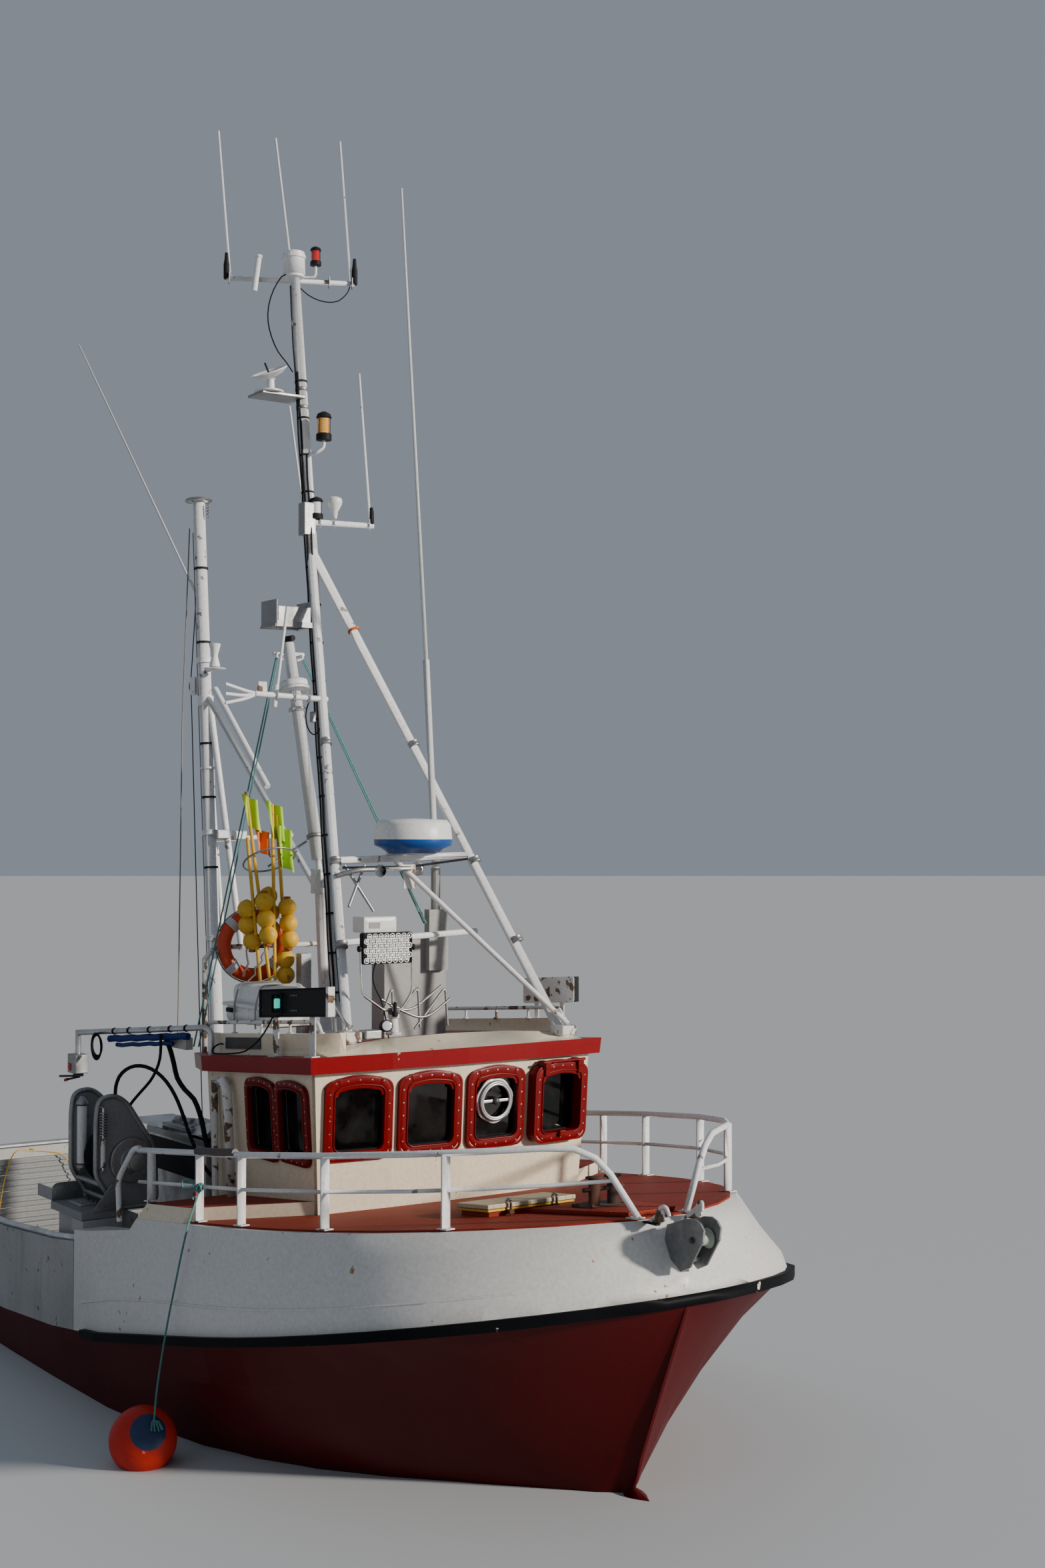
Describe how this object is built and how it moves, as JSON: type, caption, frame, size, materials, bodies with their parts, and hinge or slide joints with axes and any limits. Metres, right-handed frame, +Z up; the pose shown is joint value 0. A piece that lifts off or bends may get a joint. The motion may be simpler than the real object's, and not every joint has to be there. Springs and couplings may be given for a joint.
{
  "type": "inshore fishing boat",
  "caption": "Decked inshore fishing boat afloat: full-bowed hull with raised foredeck, forward wheelhouse, tripod mast, line hauler, rudder and propeller.",
  "frame": {"origin": "on the waterline, amidships, on the centreline", "axes": "+X towards the bow, +Y to port, +Z up"},
  "size_m": [10.968, 4.8149, 11.8512],
  "materials": {
    "hull": "worn",
    "forecastle": "worn",
    "rub_rail": "worn",
    "foredeck": "worn",
    "side_deck_starboard": "worn",
    "side_deck_port": "worn",
    "bulwark": "worn",
    "bulwark_cap": "worn",
    "working_deck": "worn",
    "hold_coaming": "worn",
    "hold_lid": "worn",
    "front_wall": "worn",
    "starboard_wall": "worn",
    "port_wall": "worn",
    "aft_wall": "worn",
    "roof": "worn",
    "wheelhouse_door": "worn",
    "front_glass_1": "worn",
    "front_glass_2": "worn",
    "front_glass_3": "worn",
    "front_glass_4": "worn",
    "starboard_glass": "worn",
    "port_glass": "worn",
    "sole": "worn",
    "helm_console": "worn",
    "helm_seat": "worn",
    "engine": "worn",
    "hatch_coaming": "worn",
    "hatch_lid": "worn",
    "bitts": "worn",
    "roller_cheeks": "worn",
    "bow_roller": "worn",
    "bow_rail_starboard": "worn",
    "bow_rail_port": "worn",
    "main_mast": "worn",
    "boom_post": "worn",
    "boom": "worn",
    "aft_mast": "worn",
    "trunk": "worn",
    "radar_dome": "worn",
    "tall_whip": "worn",
    "floodlight": "worn",
    "roof_post": "worn",
    "nav_screen_starboard": "worn",
    "nav_screen_port": "worn",
    "life_raft": "worn",
    "exhaust_pipe": "worn",
    "vent_pipe": "worn",
    "hauler_frame": "worn",
    "hauler_sheave": "worn",
    "guide_roller": "worn",
    "hauling_bin": "worn",
    "aft_rail": "worn",
    "lifebuoy": "worn",
    "dan_buoys": "worn",
    "control_arm": "worn",
    "hauler_hose": "worn",
    "fender": "worn",
    "rudder": "worn",
    "propeller": "worn"
  },
  "bodies": {
    "boat": {"hull": "hull", "forecastle": "forecastle", "rub_rail": "rub_rail", "foredeck": "foredeck", "side_deck_starboard": "side_deck_starboard", "side_deck_port": "side_deck_port", "bulwark": "bulwark", "bulwark_cap": "bulwark_cap", "working_deck": "working_deck", "hold_coaming": "hold_coaming", "front_wall": "front_wall", "starboard_wall": "starboard_wall", "port_wall": "port_wall", "aft_wall": "aft_wall", "roof": "roof", "front_glass_1": "front_glass_1", "front_glass_2": "front_glass_2", "front_glass_3": "front_glass_3", "front_glass_4": "front_glass_4", "starboard_glass": "starboard_glass", "port_glass": "port_glass", "sole": "sole", "helm_console": "helm_console", "helm_seat": "helm_seat", "engine": "engine", "hatch_coaming": "hatch_coaming", "bitts": "bitts", "roller_cheeks": "roller_cheeks", "bow_rail_starboard": "bow_rail_starboard", "bow_rail_port": "bow_rail_port", "main_mast": "main_mast", "boom_post": "boom_post", "aft_mast": "aft_mast", "trunk": "trunk", "radar_dome": "radar_dome", "tall_whip": "tall_whip", "floodlight": "floodlight", "roof_post": "roof_post", "nav_screen_starboard": "nav_screen_starboard", "nav_screen_port": "nav_screen_port", "life_raft": "life_raft", "exhaust_pipe": "exhaust_pipe", "vent_pipe": "vent_pipe", "hauler_frame": "hauler_frame", "hauling_bin": "hauling_bin", "aft_rail": "aft_rail", "lifebuoy": "lifebuoy", "dan_buoys": "dan_buoys", "control_arm": "control_arm", "hauler_hose": "hauler_hose", "fender": "fender"},
    "hatch_lid": {"hatch_lid": "hatch_lid"},
    "hold_lid": {"hold_lid": "hold_lid"},
    "door": {"wheelhouse_door": "wheelhouse_door"},
    "bow_roller": {"bow_roller": "bow_roller"},
    "hauler_sheave": {"hauler_sheave": "hauler_sheave"},
    "guide_roller": {"guide_roller": "guide_roller"},
    "boom": {"boom": "boom"},
    "rudder": {"rudder": "rudder"},
    "propeller": {"propeller": "propeller"}
  },
  "joints": [
    {"name": "hatch_lid", "type": "hinge", "parent": "boat", "child": "hatch_lid", "pos_m": [3.715, -0.298, 1.79], "axis": [0, -1, 0], "range_deg": [0, 100]},
    {"name": "hold_lid", "type": "hinge", "parent": "boat", "child": "hold_lid", "pos_m": [-2.685, 0, 0.65], "axis": [0, -1, 0], "range_deg": [0, 100]},
    {"name": "door", "type": "hinge", "parent": "boat", "child": "door", "pos_m": [0.906, -0.112, 1.5], "axis": [0, 0, -1], "range_deg": [0, 100]},
    {"name": "bow_roller", "type": "hinge", "parent": "boat", "child": "bow_roller", "pos_m": [5.555, 0, 1.796], "axis": [0, 1, 0], "continuous": true},
    {"name": "hauler_sheave", "type": "hinge", "parent": "boat", "child": "hauler_sheave", "pos_m": [0.15, -1.635, 1.76], "axis": [1, 0, 0], "continuous": true},
    {"name": "guide_roller", "type": "hinge", "parent": "boat", "child": "guide_roller", "pos_m": [-0.045, -1.85, 1.925], "axis": [0, 0, 1], "continuous": true},
    {"name": "boom", "type": "hinge", "parent": "boat", "child": "boom", "pos_m": [0.58, 0, 4.01], "axis": [0, -1, 0], "range_deg": [0, 20]},
    {"name": "rudder", "type": "hinge", "parent": "boat", "child": "rudder", "pos_m": [-4.86, 0, -0.6], "axis": [0, 0, 1], "range_deg": [-35, 35]},
    {"name": "propeller", "type": "hinge", "parent": "boat", "child": "propeller", "pos_m": [-4.42, 0, -0.85], "axis": [1, 0, 0], "continuous": true}
  ]
}
